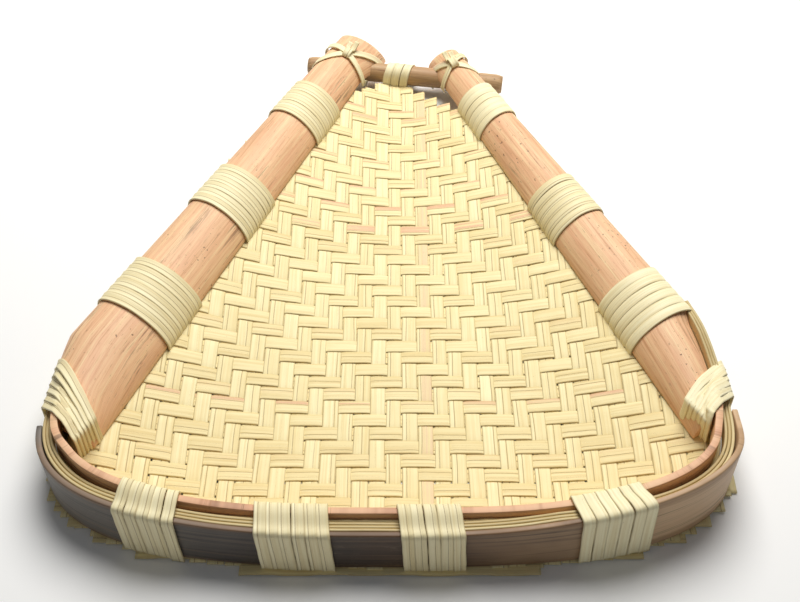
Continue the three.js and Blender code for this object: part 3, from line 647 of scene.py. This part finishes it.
def finish_piece(name, bm, material, nodes, thickness=0, bevel=0):
    mesh = bpy.data.meshes.new(name)
    for face in bm.faces:
        face.smooth = True
    bm.to_mesh(mesh)
    bm.free()
    mesh.materials.append(material)
    piece = bpy.data.objects.new(name, mesh)
    bpy.context.collection.objects.link(piece)
    if thickness:
        solidify = piece.modifiers.new("thickness", "SOLIDIFY")
        solidify.thickness = thickness * MM
        solidify.offset = 0
    if bevel:
        edges = piece.modifiers.new("soft_edges", "BEVEL")
        edges.width = bevel * MM
        edges.segments = 2
        edges.limit_method = "ANGLE"
        edges.angle_limit = math.radians(40)
    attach(piece, "root")
    if nodes:
        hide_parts(*nodes)
    return piece


# ------------------------------------------------------------------ the woven mat

WEAVE_LIFT = 0.47      # how far a splint rises and falls as it passes over and under
SPLINT_THICKNESS = 0.8
SPLINT_CROWN = 0.22
WEAVE_STEP = 2.5
WARPS = range(-21, 22)
WEFTS = range(47)
WARP_SHIFT = 2         # the middle warp lies this far right of the basket's middle
WEFT_SHIFT = 1         # the first weft lies this far in from the hoop's front
MAT_REACH_X = 206      # the mat's outline is looked for as far as this, across and along
MAT_REACH_Y = 470
FRINGE = 1.5           # how far the mat's trimmed ends stand out beyond the hoop
FRINGE_HEIGHT = 1.5    # middle of those ends, off the rest plane
FRINGE_BEND = (8, 17)  # the mat bends down to them between these insets from the hoop's face
PAST_STICK = 4         # how far the mat goes on beyond the stick's middle
UNDER_RAIL = 11        # how far it stops short of a rail's outer edge
UNDER_RAIL_TIP = 6     # how far it reaches in under a rail near the rail's far end
TIP_STRETCH = (396, 430)
TWILL_STEEPNESS = 1.7
FOLD_TOP = 35          # top of the mat's edge, folded up inside the hoop
FOLD_END = 1.05
FOLD_THICKNESS = 1.6


def twill(position):
    """1 where a splint lies on top, -1 where it lies below: over two, under two."""
    wave = math.cos(math.pi / 2 * (position - 0.5))
    return math.sin(math.pi / 2 * max(min(TWILL_STEEPNESS * wave, 1), -1))


def mat_margin(x, y):
    """How far inside the mat's outline a point lies."""
    margins = [inside_distance(x, y) + FRINGE, PAST_STICK - stick_at(x, y)[1]]
    for rail in RAILS.values():
        s = rail.s_at(y)
        if s > 0:
            wide = rail.width_at(min(s, rail.length)) - UNDER_RAIL
            reach = lerp(wide, UNDER_RAIL_TIP, smoothstep(y, *TIP_STRETCH))
            margins.append(reach - rail.outward(x, y))
    return min(margins)


def woven_height(x, y):
    """The mat's middle, which dips under the hoop so that its trimmed ends show below it."""
    under_hoop = 1 - smoothstep(inside_distance(x, y), *FRINGE_BEND)
    share = under_hoop * (1 - smoothstep(y, HOOP_DEPTH, HOOP_DEPTH + 26))
    return lerp(mat_height(x, y), rest_height(y) + FRINGE_HEIGHT, share)


def splint_run(middle_of, low, high):
    """Where a splint starts and ends: the stretch that lies inside the mat's outline."""
    inside = [v for v in range(low, high) if mat_margin(*middle_of(v)) > 0]
    if len(inside) < 2 * SPLINT_PITCH:
        return None
    return inside[0], inside[-1]


def splint_rows(run, half_width, point_at):
    count = max(round((run[1] - run[0]) / WEAVE_STEP), 4)
    rows = []
    for i in range(count + 1):
        v = lerp(run[0], run[1], i / count)
        rows.append([point_at(v, share * half_width, abs(share)) for share in (-1, -0.8, 0, 0.8, 1)])
    return rows


def weave():
    draw = random.Random(11)
    warps, wefts = new_mesh(), new_mesh()
    for i in WARPS:
        x = i * SPLINT_PITCH + WARP_SHIFT
        run = splint_run(lambda v: (x, v), 0, MAT_REACH_Y)
        if run is None:
            continue
        half = SPLINT_PITCH / 2 * draw.uniform(0.9, 1.0)
        run = run[0] - draw.uniform(-1.2, 1.0), run[1] + draw.uniform(0, 2)

        def warp_point(y, offset, edge):
            sway = 0.8 * noise.noise(Vector((i * 3.7, y / 60, 1)))
            lift = -WEAVE_LIFT * twill(i + y / SPLINT_PITCH) - SPLINT_CROWN * edge ** 3
            px = x + sway + offset
            return Vector((px, y, woven_height(px, y) + lift))
        bent_sheet(warps, splint_rows(run, half, warp_point), i + 60)
    for j in WEFTS:
        y = j * SPLINT_PITCH + WEFT_SHIFT
        run = splint_run(lambda v: (v, y), -MAT_REACH_X, MAT_REACH_X + 1)
        if run is None:
            continue
        half = SPLINT_PITCH / 2 * draw.uniform(0.84, 0.96)
        run = run[0] - draw.uniform(0, 1), run[1] + draw.uniform(0, 1)

        def weft_point(x, offset, edge):
            sway = 0.7 * noise.noise(Vector((x / 60, j * 2.9, 7)))
            lift = WEAVE_LIFT * twill((x - WARP_SHIFT) / SPLINT_PITCH + j) - SPLINT_CROWN * edge ** 3
            py = y + sway + offset
            return Vector((x, py, woven_height(x, py) + lift))
        bent_sheet(wefts, splint_rows(run, half, weft_point), j + 200)
    return warps, wefts


def band_sheet(bm, first, last, steps, inset_at, bottom_at, top_at, number, tiers=4):
    """A band on edge that follows the hoop at its own inset."""
    rows = []
    for i in range(steps + 1):
        t = lerp(first, last, i / steps)
        rows.append([hoop_inset(t, inset_at(t), lerp(bottom_at(t), top_at(t), k / tiers))
                     for k in range(tiers + 1)])
    bent_sheet(bm, rows, number)


def make_mat(paints):
    warps, wefts = weave()
    finish_piece("woven_mat_warps", warps, paints["warp"], ["woven_mat"],
                 SPLINT_THICKNESS)
    finish_piece("woven_mat_wefts", wefts, paints["splint"], ["woven_mat"],
                 SPLINT_THICKNESS)
    edge = new_mesh()
    band_sheet(edge, -FOLD_END, FOLD_END, 120, wall_inset, lambda t: band_bottom(t) - 0.4,
               lambda t: FOLD_TOP + 0.7 * noise.noise(Vector((t * 60, 3, 0))), 7)
    finish_piece("folded_mat_edge", edge, paints["splint"], ["woven_mat"],
                 FOLD_THICKNESS)


# ------------------------------------------------------------------ hoop bands

def inner_bottom(t):
    heights = []
    for share in (0, 1):
        p = hoop_inset(t, inner_inset(t) + share * INNER_THICKNESS, 0)
        heights.append(mat_height(p.x, p.y))
    return max(max(heights) + MAT_THICKNESS / 2 + INNER_ABOVE_MAT, inner_top(t) - INNER_TALLEST)


def make_hoop(paints):
    outer = new_mesh()
    band_sheet(outer, *BAND_ENDS, 150, lambda t: BAND_THICKNESS / 2 - BAND_SPREAD * pinched(t),
               band_bottom, band_top, 3, 8)
    finish_piece("outer_band", outer, paints["outer_band"], ["outer_rim_band"],
                 BAND_THICKNESS, 0.7)
    for number in range(FILLER_COUNT):
        filler = new_mesh()

        def wave(t):
            return 0.5 * noise.noise(Vector((t * 9, number * 5.1, 2)))
        band_sheet(filler, *FILLER_ENDS, 170,
                   lambda t: filler_inset(number, t) + FILLER_THICKNESS / 2,
                   lambda t: filler_top(t) - FILLER_HEIGHT + wave(t),
                   lambda t: filler_top(t) + wave(t), 20 + number)
        finish_piece(f"filler_splint_{number + 1}", filler, paints["filler"],
                     [f"rim_filler_splint_{number + 1}"], FILLER_THICKNESS, 0.5)
    inner = new_mesh()
    band_sheet(inner, *INNER_ENDS, 160, lambda t: inner_inset(t) + INNER_THICKNESS / 2,
               inner_bottom, inner_top, 5, 8)
    finish_piece("inner_band", inner, paints["inner_band"], ["inner_rim_band"],
                 INNER_THICKNESS, 0.8)


# ------------------------------------------------------------------ rails, laths and stick

CULM_WALL = 5.5
LATH_ENDS = (0.14, 0.8)    # shares of the rail's length


def make_rails(paints):
    facets = 24
    for number, (name, rail) in enumerate(RAILS.items()):
        bm = new_mesh()
        rows = []
        steps = 170
        for i in range(steps + 1):
            s = rail.length * i / steps
            outside = rail.arc(s, 0, facets)
            inside = rail.arc(s, -CULM_WALL, facets // 2)
            wave = 0.5 * noise.noise(Vector((s / 45, number * 9, 4)))
            flare = rail.flare_at(s)
            row = [rail.point(s, q - flare * (1 - k / facets),
                              n + wave * math.sin(math.pi * k / facets))
                   for k, (q, n) in enumerate(outside)]
            row += [rail.point(s, q, n) for q, n in reversed(inside)]
            rows.append(row[facets + 6:] + row[:facets + 6])
        closed_loft(bm, rows, 40 + number)
        finish_piece(f"{name}_split_culm", bm, paints["culm"], [f"{name}_rail"],
                     bevel=0.8)
        lath = new_mesh()
        top = -2 * GAP - MAT_THICKNESS - LATH_THICKNESS / 2
        rows = []
        for i in range(41):
            s = lerp(*LATH_ENDS, i / 40) * rail.length
            first = max((rail.width_at(s) - LATH_WIDTH) / 2, 2)
            wide = min(LATH_WIDTH, rail.width_at(s) - 4)
            rows.append([rail.point(s, first + wide * k / 4, top) for k in range(5)])
        bent_sheet(lath, rows, 50 + number)
        finish_piece(f"{name}_lath", lath, paints["lath"], [f"{name}_rail_under_lath"],
                     LATH_THICKNESS, 0.9)


def make_stick(paints):
    bm = new_mesh()
    rows = []
    for i in range(61):
        share = i / 60
        centre = STICK_LEFT.lerp(STICK_RIGHT, share)
        end = min(i, 60 - i)
        radius = STICK_RADIUS * (1 if end > 1 else 0.95 if end == 1 else 0.86)
        radius *= 1 - 0.04 * noise.noise(Vector((share * 6, 1, 2)))
        rows.append([centre + (STICK_ACROSS * math.cos(a) + STICK_UP * math.sin(a)) * radius
                     for a in (2 * math.pi * k / 28 - math.pi / 2 for k in range(28))])
    closed_loft(bm, rows, 60)
    finish_piece("cross_culm", bm, paints["stick"], ["cross_stick"])


# ------------------------------------------------------------------ lashings

STRIP_ROWS = (-1, -0.72, 0, 0.72, 1)
STRIP_HALF_WIDTH = 3.5
STRIP_SHEET = 1.0
FINE_STRIP_SHEET = 0.9
CORNER_HALF_WIDTHS = (2.3, 3.5)    # at the rail's inner edge and over the hoop
STICK_STRIP_HALF_WIDTH = 3.3
TIE_HALF_WIDTH = 2.7
KNOT_HALF_WIDTH = 3.1
TAIL_HALF_WIDTH = 2.0
CORNER_FOOT = -2.5     # a corner strip starts this far off the rail's underside
CORNER_OUTSIDE = -1.2  # and folds down this far outside the hoop's outer face
KNOT = ((-5.2, -0.4), (-4.2, 1.8), (-1.5, 3.0), (1.5, 3.0), (4.2, 1.8), (5.2, -0.4))
TAILS = ((12, 4.2), (10, 2.6))    # how far each tail reaches along the rail and how far it rises
TAIL_SPACING = 4.6
RAIL_TURNS = 6
CORNER_TURNS = 6
STICK_TURNS = 3
RIM_LASHINGS = ((-0.548, 5), (-0.218, 6), (0.089, 5), (0.497, 6))    # the hoop's measure, turns


def eased(points, longest):
    """The same line with its long runs divided and its corners eased."""
    fine = []
    for before, after in zip(points, points[1:]):
        parts = max(math.ceil((after[0] - before[0]).length / longest), 1)
        fine += [tuple(lerp(b, a, k / parts) for b, a in zip(before, after)) for k in range(parts)]
    fine.append(points[-1])
    eased_points = [fine[0]]
    for before, here, after in zip(fine, fine[1:], fine[2:]):
        eased_points.append(((before[0] + after[0]) * 0.25 + here[0] * 0.5, *here[1:]))
    return eased_points + [fine[-1]]


def strip_sheet(bm, line, number, crown=0.3):
    """A flat strip along a line of points, each with its width's direction and half its width."""
    rows = []
    for i, (point, wide, half_width) in enumerate(line):
        before, after = line[max(i - 1, 0)][0], line[min(i + 1, len(line) - 1)][0]
        run = (after - before).normalized()
        across = (wide - run * wide.dot(run)).normalized()
        away = run.cross(across).normalized()
        taper = half_width * (1 + 0.08 * noise.noise(point / 9))
        rows.append([point + across * (k * taper) - away * (crown * abs(k) ** 3)
                     for k in STRIP_ROWS])
    bent_sheet(bm, rows, number)


def winding(bm, loop_at, along_at, start, turns, pitch, half_width, number):
    """A strip wound in turns round a bundle, each turn lying beside the last."""
    count = len(loop_at(start))
    line = []
    for i in range(turns * count):
        turn = i // count
        slip = 0.9 * noise.noise(Vector((turn * 1.9, number * 3.3, i / count)))
        s = start + pitch * i / count + slip
        line.append((loop_at(s)[i % count], along_at(s), half_width))
    strip_sheet(bm, eased(line, 2.6), number)


LIFT = 0.45            # how far a strip stands off what it is wound round, beyond the gap


def make_rail_lashings(paints):
    for side, (name, rail) in enumerate(RAILS.items()):
        below = -3 * GAP - MAT_THICKNESS - LATH_THICKNESS - STRIP_THICKNESS / 2

        def loop_at(s):
            arc = rail.arc(s, STAND_OFF + LIFT, 14)
            loop = [(arc[0][0], below), *arc, (arc[-1][0], below)]
            return [rail.point(s, q, n) for q, n in loop]
        for i, share in enumerate(rail.lashings):
            bm = new_mesh()
            winding(bm, loop_at, lambda s: rail.along, share * rail.length, RAIL_TURNS,
                    TURN_PITCH, STRIP_HALF_WIDTH, 70 + 10 * side + i)
            finish_piece(f"{name}_lashing_{i + 1}", bm, paints["lashing"],
                         [f"{name}_rail_lashing_{i + 1}"], STRIP_SHEET)


def taut(profile):
    """The upper line of a profile, as a strip drawn tight over it takes."""
    hull = []
    for x, z in profile:
        while len(hull) > 1:
            (x1, z1), (x2, z2) = hull[-2:]
            if (z2 - z1) * (x - x1) <= (z - z1) * (x2 - x1):
                hull.pop()
            else:
                break
        hull.append((x, z))
    heights = []
    for x, _ in profile:
        k = max(bisect.bisect_left([p[0] for p in hull], x), 1)
        (x1, z1), (x2, z2) = hull[k - 1], hull[k]
        heights.append(lerp(z1, z2, (x - x1) / (x2 - x1)))
    return heights


def bundle_top(rail, s, q):
    """How far up off a rail's underside, at s and q, the rail or the hoop's splints reach."""
    level = rail.point(s, q, 0)
    above = rail.point(s, q, rail.height[0] / 2)
    t = above.y / HOOP_DEPTH * rail.side
    inset = inside_distance(above.x, above.y)
    heights = [level.z]
    if inset > 0 and abs(t) < -FILLER_ENDS[0]:
        heights.append(filler_top(t))
    if inner_inset(t) < inset < hoop_thickness(t) and abs(t) < INNER_ENDS[1]:
        heights.append(inner_top(t))
    rise = (max(heights) - level.z) / rail.up.z
    width = rail.width_at(s) if s > 0 else 0
    if 0 < q < width:
        rise = max(rise, rail.height_at(s) * math.sqrt(1 - (1 - 2 * q / width) ** 2))
    return rise


def corner_loop(rail, share):
    """One turn of a corner lashing, from under the rail over it and over the hoop's splints."""
    low, high, fold_low, fold_high = rail.corner
    t = lerp(fold_low, fold_high, share) * rail.side
    start = (*(lerp(a, b, share) for a, b in zip(low, high)), CORNER_FOOT)
    fold = hoop_inset(t, CORNER_OUTSIDE, filler_top(t) - 1.5)
    away = fold - rail.near
    end = away.dot(rail.along), away.dot(rail.across), away.dot(rail.up)
    steps = 30
    profile = [(0, start[2])]
    for k in range(1, steps):
        s, q, _ = (lerp(a, b, k / steps) for a, b in zip(start, end))
        profile.append((k / steps, bundle_top(rail, s, q) + STAND_OFF + LIFT))
    profile.append((1, end[2]))
    line = []
    for k, n in enumerate(taut(profile)):
        s, q, _ = (lerp(a, b, k / steps) for a, b in zip(start, end))
        q += rail.lean(q, n, rail.width_at(max(s, 1)))
        line.append((rail.point(s, q, n), k / steps))
    foot = rail.point(*start)
    line.append((hoop_inset(t, CORNER_OUTSIDE, 29), 1))
    line.append((hoop_inset(t, 6, 21), 1))
    line.append((foot.lerp(fold, 0.35) - Vector((0, 0, fold.z - foot.z + 3)), 0.3))
    return line


def make_corner_lashings(paints):
    for side, (name, rail) in enumerate(RAILS.items()):
        count = len(corner_loop(rail, 0))
        line = []
        for i in range(CORNER_TURNS * count):
            point, out = corner_loop(rail, i / (CORNER_TURNS * count))[i % count]
            hoop_way = hoop_tangent(rail.side * 1.2) * rail.side
            lay = 0.25 * noise.noise(Vector((i // count * 2.7, side * 9, 1)))
            line.append((point + Vector((0, 0, lay)), rail.along.lerp(hoop_way, out),
                         lerp(*CORNER_HALF_WIDTHS, out)))
        bm = new_mesh()
        strip_sheet(bm, eased(line, 2.6), 90 + side)
        finish_piece(f"{name}_corner_strip", bm, paints["lashing"],
                     [f"{name}_corner_lashing"], FINE_STRIP_SHEET)


def make_rim_lashings(paints):
    for i, (share, turns) in enumerate(RIM_LASHINGS):
        span = turns * TURN_PITCH

        def measure_at(s):
            return share + (s - span / 2) / FRONT_LENGTH

        def loop_at(s):
            t = measure_at(s)
            outer = -STAND_OFF - LIFT
            inner = hoop_thickness(t) + STAND_OFF + LIFT
            bottom = rest_height(hoop_point(t).y) + 0.8
            top = band_top(t) + STAND_OFF + LIFT
            high = inner_top(t) + STAND_OFF + LIFT
            return [
                hoop_inset(t, outer, bottom), hoop_inset(t, outer, top / 2),
                hoop_inset(t, outer, top), hoop_inset(t, BAND_THICKNESS + STAND_OFF, top),
                hoop_inset(t, inner_inset(t) - STAND_OFF / 2, high),
                hoop_inset(t, inner, high), hoop_inset(t, inner, high / 2),
                hoop_inset(t, inner, bottom), hoop_inset(t, inner / 2, bottom),
            ]
        bm = new_mesh()
        winding(bm, loop_at, lambda s: hoop_tangent(measure_at(s)), span, turns, -TURN_PITCH,
                STRIP_HALF_WIDTH, 100 + i)
        finish_piece(f"rim_strip_{i + 1}", bm, paints["lashing"],
                     [f"rim_lashing_{i + 1}"], STRIP_SHEET)


def make_stick_lashing(paints):
    radius = STICK_RADIUS + STAND_OFF
    start = STICK_LENGTH * 0.475 - STICK_TURNS / 2 * TURN_PITCH

    def loop_at(s):
        centre = STICK_LEFT + STICK_ALONG * s
        below = -STICK_RADIUS - STICK_CLEARANCE - MAT_THICKNESS - STAND_OFF
        arc = [(-radius * math.cos(a), radius * math.sin(a))
               for a in (math.pi * k / 12 for k in range(13))]
        return [centre + STICK_ACROSS * a + STICK_UP * b
                for a, b in [(-radius, below), *arc, (radius, below)]]
    bm = new_mesh()
    winding(bm, loop_at, lambda s: STICK_ALONG, start, STICK_TURNS, TURN_PITCH,
            STICK_STRIP_HALF_WIDTH, 110)
    finish_piece("stick_strip", bm, paints["lashing"],
                 ["cross_stick_lashing"], STRIP_SHEET)


def tie_strip(bm, rail, inner_s, outer_s, offset, number):
    """One strip over a rail's far end, round its sides and under the cross stick."""
    facets = 16
    run = []
    for k in range(facets + 1):
        share = (1 - math.cos(math.pi * k / facets)) / 2
        s = lerp(inner_s, outer_s, share)
        q, n = rail.arc(s, offset, facets)[k]
        run.append(rail.point(s, q - rail.flare_at(s) * (1 - k / facets), n))
    middle = (run[0] + run[-1]) / 2
    below = stick_at(middle.x, middle.y)[0] - STICK_RADIUS - STAND_OFF
    ends = []
    for p in (run[0], run[-1]):
        beyond = stick_at(p.x, p.y)[1]
        under = p - STICK_ACROSS * beyond * 0.8
        ends.append(Vector((under.x, under.y, below)))
    line = [ends[0], *run, ends[1], ends[0].lerp(ends[1], 0.3)]
    strip_sheet(bm, eased([(p, rail.along, TIE_HALF_WIDTH) for p in line], 2.2), number)
    return run


def make_end_ties(paints):
    for side, (name, rail) in enumerate(RAILS.items()):
        bm = new_mesh()
        first, second = rail.tie
        lower = tie_strip(bm, rail, *first, STAND_OFF, 120 + side)
        upper = tie_strip(bm, rail, *second, STAND_OFF + 1.1, 130 + side)
        gaps = [((a - b).length, (a + b) / 2) for a in lower for b in upper]
        crossing = min(gaps)[1]
        lift = rail.up
        line = [(crossing + rail.along * a + lift * b, rail.across, KNOT_HALF_WIDTH)
                for a, b in KNOT]
        strip_sheet(bm, eased(line, 1.2), 140 + side, 0.5)
        for lane, (reach, rise) in enumerate(TAILS):
            start = crossing + rail.across * ((lane - 0.5) * TAIL_SPACING)
            tail = [(start + rail.along * (4 + (reach - 4) * k / 3)
                     + lift * (0.8 + rise * (k / 3) ** 1.4), rail.across, TAIL_HALF_WIDTH)
                    for k in range(4)]
            strip_sheet(bm, eased(tail, 1.5), 150 + 2 * side + lane, 0.2)
        finish_piece(f"{name}_end_tie_strip", bm, paints["lashing"],
                     [f"{name}_end_tie"], FINE_STRIP_SHEET)


# ------------------------------------------------------------------ making

set_camera()
set_lights()
PAINTS = {
    "warp": splint_paint("mat_warp_splint", linear(250, 238, 190), linear(230, 208, 146),
                         linear(232, 200, 160), 0.06, linear(150, 118, 74), 0.0049, 0.85),
    "splint": splint_paint("mat_splint", linear(248, 234, 182), linear(224, 200, 138),
                           linear(222, 170, 138), 0.2, linear(150, 118, 74), 0.0047, 0.75),
    "lashing": splint_paint("lashing_strip", linear(249, 240, 202), linear(228, 210, 158),
                            linear(226, 180, 146), 0.1, linear(150, 122, 80), 0.0035, 0.5),
    "filler": splint_paint("filler_splint", linear(238, 222, 170), linear(206, 180, 122),
                           linear(210, 160, 120), 0.3, linear(120, 90, 54), 0.0045, 0.5),
    "culm": culm_paint("rail_culm", linear(236, 190, 148), linear(246, 218, 170),
                       linear(196, 140, 98), linear(74, 48, 34), linear(228, 170, 134)),
    "inner_band": culm_paint("inner_band_culm", linear(228, 182, 142), linear(240, 206, 162),
                             linear(170, 114, 80), linear(70, 44, 32), linear(216, 150, 118)),
    "lath": culm_paint("lath_culm", linear(222, 190, 138), linear(238, 218, 170),
                       linear(180, 140, 92), linear(90, 64, 42), linear(214, 176, 128)),
    "stick": culm_paint("stick_culm", linear(190, 154, 112), linear(206, 176, 134),
                        linear(128, 90, 64), linear(62, 42, 32), linear(166, 122, 92), 2.0),
    "outer_band": outer_band_paint(),
}
floor_mesh = bmesh.new()
bmesh.ops.create_grid(floor_mesh, x_segments=1, y_segments=1, size=6)
floor_data = bpy.data.meshes.new("floor")
floor_mesh.to_mesh(floor_data)
floor_mesh.free()
floor_data.materials.append(floor_paint())
floor = bpy.data.objects.new("floor", floor_data)
bpy.context.collection.objects.link(floor)

make_mat(PAINTS)
make_hoop(PAINTS)
make_rails(PAINTS)
make_stick(PAINTS)
make_rail_lashings(PAINTS)
make_corner_lashings(PAINTS)
make_rim_lashings(PAINTS)
make_stick_lashing(PAINTS)
make_end_ties(PAINTS)
